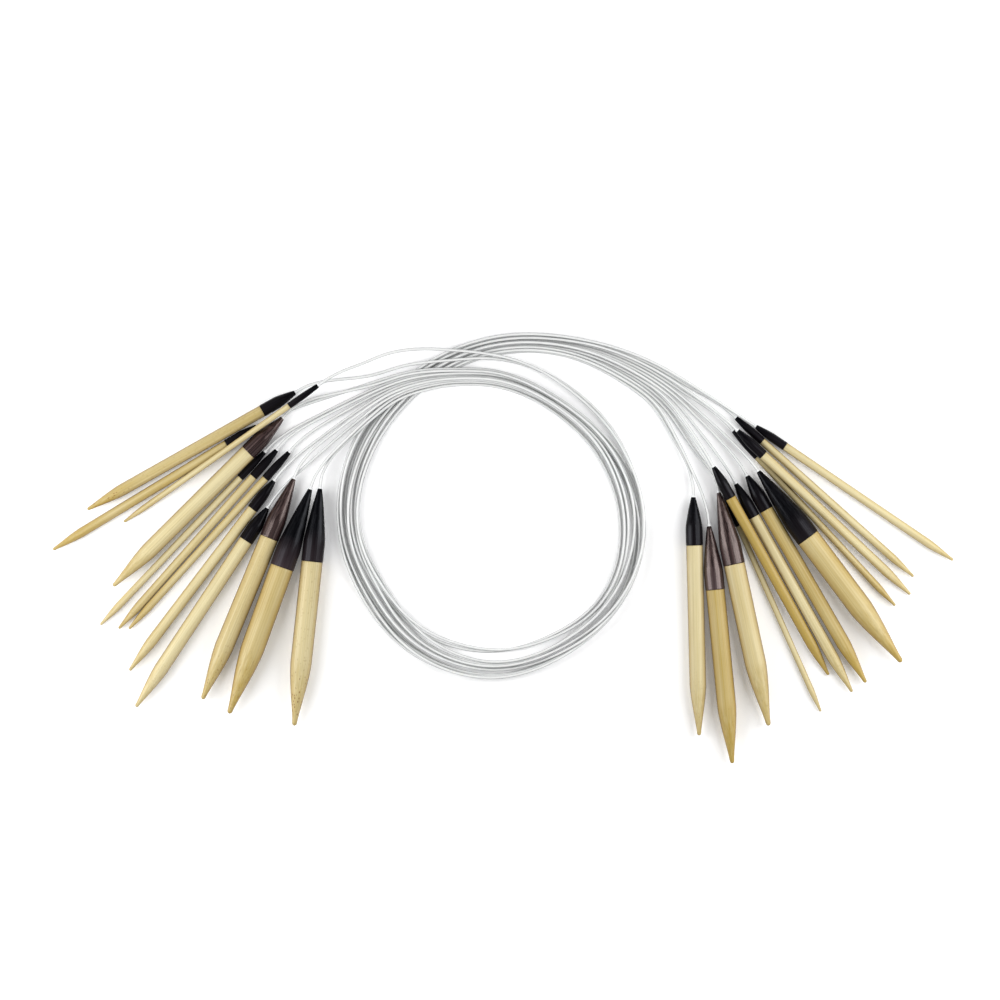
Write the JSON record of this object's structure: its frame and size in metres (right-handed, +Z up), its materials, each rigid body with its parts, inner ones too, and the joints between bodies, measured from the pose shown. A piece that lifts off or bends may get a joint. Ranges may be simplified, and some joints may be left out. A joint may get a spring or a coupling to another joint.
{
  "type": "circular knitting needle",
  "caption": "Coiled bundle of circular knitting needles: paired bamboo tips with black and brown ferrules, joined by clear flexible cables.",
  "frame": {"origin": "middle of the bundle's footprint, on the table it lies on", "axes": "+X from the left fan of tips to the right fan, +Y from the points of the tips towards the top of the coil, +Z up from the table"},
  "size_m": [0.3782, 0.1806, 0.0107],
  "materials": {
    "bamboo": "satin",
    "ferrule_black": "gloss",
    "ferrule_brown": "gloss",
    "cable": "gloss"
  },
  "bodies": {
    "coil": {"cable_10mm": "cable", "cable_9mm": "cable", "cable_8mm": "cable", "cable_7mm": "cable", "cable_6mm": "cable", "cable_5mm": "cable", "cable_4_5mm": "cable", "cable_4mm": "cable", "cable_3_5mm": "cable", "cable_3_25mm": "cable", "cable_3mm": "cable", "cable_2_5mm": "cable"},
    "tip_10mm_left": {"shaft_10mm_left": "bamboo", "ferrule_10mm_left": "ferrule_black"},
    "tip_10mm_right": {"shaft_10mm_right": "bamboo", "ferrule_10mm_right": "ferrule_black"},
    "tip_9mm_left": {"shaft_9mm_left": "bamboo", "ferrule_9mm_left": "ferrule_black"},
    "tip_9mm_right": {"shaft_9mm_right": "bamboo", "ferrule_9mm_right": "ferrule_brown"},
    "tip_8mm_left": {"shaft_8mm_left": "bamboo", "ferrule_8mm_left": "ferrule_brown"},
    "tip_8mm_right": {"shaft_8mm_right": "bamboo", "ferrule_8mm_right": "ferrule_brown"},
    "tip_7mm_left": {"shaft_7mm_left": "bamboo", "ferrule_7mm_left": "ferrule_brown"},
    "tip_7mm_right": {"shaft_7mm_right": "bamboo", "ferrule_7mm_right": "ferrule_black"},
    "tip_6mm_left": {"shaft_6mm_left": "bamboo", "ferrule_6mm_left": "ferrule_black"},
    "tip_6mm_right": {"shaft_6mm_right": "bamboo", "ferrule_6mm_right": "ferrule_black"},
    "tip_5mm_left": {"shaft_5mm_left": "bamboo", "ferrule_5mm_left": "ferrule_black"},
    "tip_5mm_right": {"shaft_5mm_right": "bamboo", "ferrule_5mm_right": "ferrule_black"},
    "tip_4_5mm_left": {"shaft_4_5mm_left": "bamboo", "ferrule_4_5mm_left": "ferrule_black"},
    "tip_4_5mm_right": {"shaft_4_5mm_right": "bamboo", "ferrule_4_5mm_right": "ferrule_black"},
    "tip_4mm_left": {"shaft_4mm_left": "bamboo", "ferrule_4mm_left": "ferrule_black"},
    "tip_4mm_right": {"shaft_4mm_right": "bamboo", "ferrule_4mm_right": "ferrule_black"},
    "tip_3_5mm_left": {"shaft_3_5mm_left": "bamboo", "ferrule_3_5mm_left": "ferrule_black"},
    "tip_3_5mm_right": {"shaft_3_5mm_right": "bamboo", "ferrule_3_5mm_right": "ferrule_black"},
    "tip_3_25mm_left": {"shaft_3_25mm_left": "bamboo", "ferrule_3_25mm_left": "ferrule_black"},
    "tip_3_25mm_right": {"shaft_3_25mm_right": "bamboo", "ferrule_3_25mm_right": "ferrule_black"},
    "tip_3mm_left": {"shaft_3mm_left": "bamboo", "ferrule_3mm_left": "ferrule_black"},
    "tip_3mm_right": {"shaft_3mm_right": "bamboo", "ferrule_3mm_right": "ferrule_black"},
    "tip_2_5mm_left": {"shaft_2_5mm_left": "bamboo", "ferrule_2_5mm_left": "ferrule_black"},
    "tip_2_5mm_right": {"shaft_2_5mm_right": "bamboo", "ferrule_2_5mm_right": "ferrule_black"}
  },
  "joints": [
    {"name": "lift_10mm_left", "type": "hinge", "parent": "coil", "child": "tip_10mm_left", "pos_m": [-0.04579, 0.069, 0.004], "axis": [-0.8089, 0.5879, 0], "range_deg": [0, 60], "deforming": ["cable_10mm"]},
    {"name": "lift_10mm_right", "type": "hinge", "parent": "coil", "child": "tip_10mm_right", "pos_m": [0.07421, 0.0648, 0.004], "axis": [-0.866, -0.5, 0], "range_deg": [0, 60], "deforming": ["cable_10mm"]},
    {"name": "lift_9mm_left", "type": "hinge", "parent": "coil", "child": "tip_9mm_left", "pos_m": [-0.04579, 0.069, 0.004], "axis": [-0.8089, 0.5879, 0], "range_deg": [0, 60], "deforming": ["cable_9mm"]},
    {"name": "lift_9mm_right", "type": "hinge", "parent": "coil", "child": "tip_9mm_right", "pos_m": [0.07421, 0.0648, 0.004], "axis": [-0.866, -0.5, 0], "range_deg": [0, 60], "deforming": ["cable_9mm"]},
    {"name": "lift_8mm_left", "type": "hinge", "parent": "coil", "child": "tip_8mm_left", "pos_m": [-0.04579, 0.069, 0.004], "axis": [-0.8089, 0.5879, 0], "range_deg": [0, 60], "deforming": ["cable_8mm"]},
    {"name": "lift_8mm_right", "type": "hinge", "parent": "coil", "child": "tip_8mm_right", "pos_m": [0.07421, 0.0648, 0.004], "axis": [-0.866, -0.5, 0], "range_deg": [0, 60], "deforming": ["cable_8mm"]},
    {"name": "lift_7mm_left", "type": "hinge", "parent": "coil", "child": "tip_7mm_left", "pos_m": [-0.04579, 0.069, 0.004], "axis": [-0.8089, 0.5879, 0], "range_deg": [0, 60], "deforming": ["cable_7mm"]},
    {"name": "lift_7mm_right", "type": "hinge", "parent": "coil", "child": "tip_7mm_right", "pos_m": [0.07421, 0.0648, 0.004], "axis": [-0.866, -0.5, 0], "range_deg": [0, 60], "deforming": ["cable_7mm"]},
    {"name": "lift_6mm_left", "type": "hinge", "parent": "coil", "child": "tip_6mm_left", "pos_m": [-0.04579, 0.069, 0.004], "axis": [-0.8089, 0.5879, 0], "range_deg": [0, 60], "deforming": ["cable_6mm"]},
    {"name": "lift_6mm_right", "type": "hinge", "parent": "coil", "child": "tip_6mm_right", "pos_m": [0.07421, 0.0648, 0.004], "axis": [-0.866, -0.5, 0], "range_deg": [0, 60], "deforming": ["cable_6mm"]},
    {"name": "lift_5mm_left", "type": "hinge", "parent": "coil", "child": "tip_5mm_left", "pos_m": [-0.04579, 0.069, 0.004], "axis": [-0.8089, 0.5879, 0], "range_deg": [0, 60], "deforming": ["cable_5mm"]},
    {"name": "lift_5mm_right", "type": "hinge", "parent": "coil", "child": "tip_5mm_right", "pos_m": [0.07421, 0.0648, 0.004], "axis": [-0.866, -0.5, 0], "range_deg": [0, 60], "deforming": ["cable_5mm"]},
    {"name": "lift_4_5mm_left", "type": "hinge", "parent": "coil", "child": "tip_4_5mm_left", "pos_m": [-0.04579, 0.069, 0.004], "axis": [-0.8089, 0.5879, 0], "range_deg": [0, 60], "deforming": ["cable_4_5mm"]},
    {"name": "lift_4_5mm_right", "type": "hinge", "parent": "coil", "child": "tip_4_5mm_right", "pos_m": [0.07421, 0.0648, 0.004], "axis": [-0.866, -0.5, 0], "range_deg": [0, 60], "deforming": ["cable_4_5mm"]},
    {"name": "lift_4mm_left", "type": "hinge", "parent": "coil", "child": "tip_4mm_left", "pos_m": [-0.04579, 0.069, 0.004], "axis": [-0.8089, 0.5879, 0], "range_deg": [0, 60], "deforming": ["cable_4mm"]},
    {"name": "lift_4mm_right", "type": "hinge", "parent": "coil", "child": "tip_4mm_right", "pos_m": [0.07421, 0.0648, 0.004], "axis": [-0.866, -0.5, 0], "range_deg": [0, 60], "deforming": ["cable_4mm"]},
    {"name": "lift_3_5mm_left", "type": "hinge", "parent": "coil", "child": "tip_3_5mm_left", "pos_m": [-0.04579, 0.069, 0.004], "axis": [-0.8089, 0.5879, 0], "range_deg": [0, 60], "deforming": ["cable_3_5mm"]},
    {"name": "lift_3_5mm_right", "type": "hinge", "parent": "coil", "child": "tip_3_5mm_right", "pos_m": [0.07421, 0.0648, 0.004], "axis": [-0.866, -0.5, 0], "range_deg": [0, 60], "deforming": ["cable_3_5mm"]},
    {"name": "lift_3_25mm_left", "type": "hinge", "parent": "coil", "child": "tip_3_25mm_left", "pos_m": [-0.04579, 0.069, 0.004], "axis": [-0.8089, 0.5879, 0], "range_deg": [0, 60], "deforming": ["cable_3_25mm"]},
    {"name": "lift_3_25mm_right", "type": "hinge", "parent": "coil", "child": "tip_3_25mm_right", "pos_m": [0.07421, 0.0648, 0.004], "axis": [-0.866, -0.5, 0], "range_deg": [0, 60], "deforming": ["cable_3_25mm"]},
    {"name": "lift_3mm_left", "type": "hinge", "parent": "coil", "child": "tip_3mm_left", "pos_m": [-0.04579, 0.069, 0.004], "axis": [-0.8089, 0.5879, 0], "range_deg": [0, 60], "deforming": ["cable_3mm"]},
    {"name": "lift_3mm_right", "type": "hinge", "parent": "coil", "child": "tip_3mm_right", "pos_m": [0.07421, 0.0648, 0.004], "axis": [-0.866, -0.5, 0], "range_deg": [0, 60], "deforming": ["cable_3mm"]},
    {"name": "lift_2_5mm_left", "type": "hinge", "parent": "coil", "child": "tip_2_5mm_left", "pos_m": [-0.04579, 0.069, 0.004], "axis": [-0.8089, 0.5879, 0], "range_deg": [0, 60], "deforming": ["cable_2_5mm"]},
    {"name": "lift_2_5mm_right", "type": "hinge", "parent": "coil", "child": "tip_2_5mm_right", "pos_m": [0.07421, 0.0648, 0.004], "axis": [-0.866, -0.5, 0], "range_deg": [0, 60], "deforming": ["cable_2_5mm"]}
  ],
  "couplings": [
    {"joint": "lift_2_5mm_left", "follows": "lift_4mm_left", "ratio": 1},
    {"joint": "lift_4mm_right", "follows": "lift_3mm_right", "ratio": 1},
    {"joint": "lift_4_5mm_right", "follows": "lift_2_5mm_right", "ratio": 1}
  ]
}
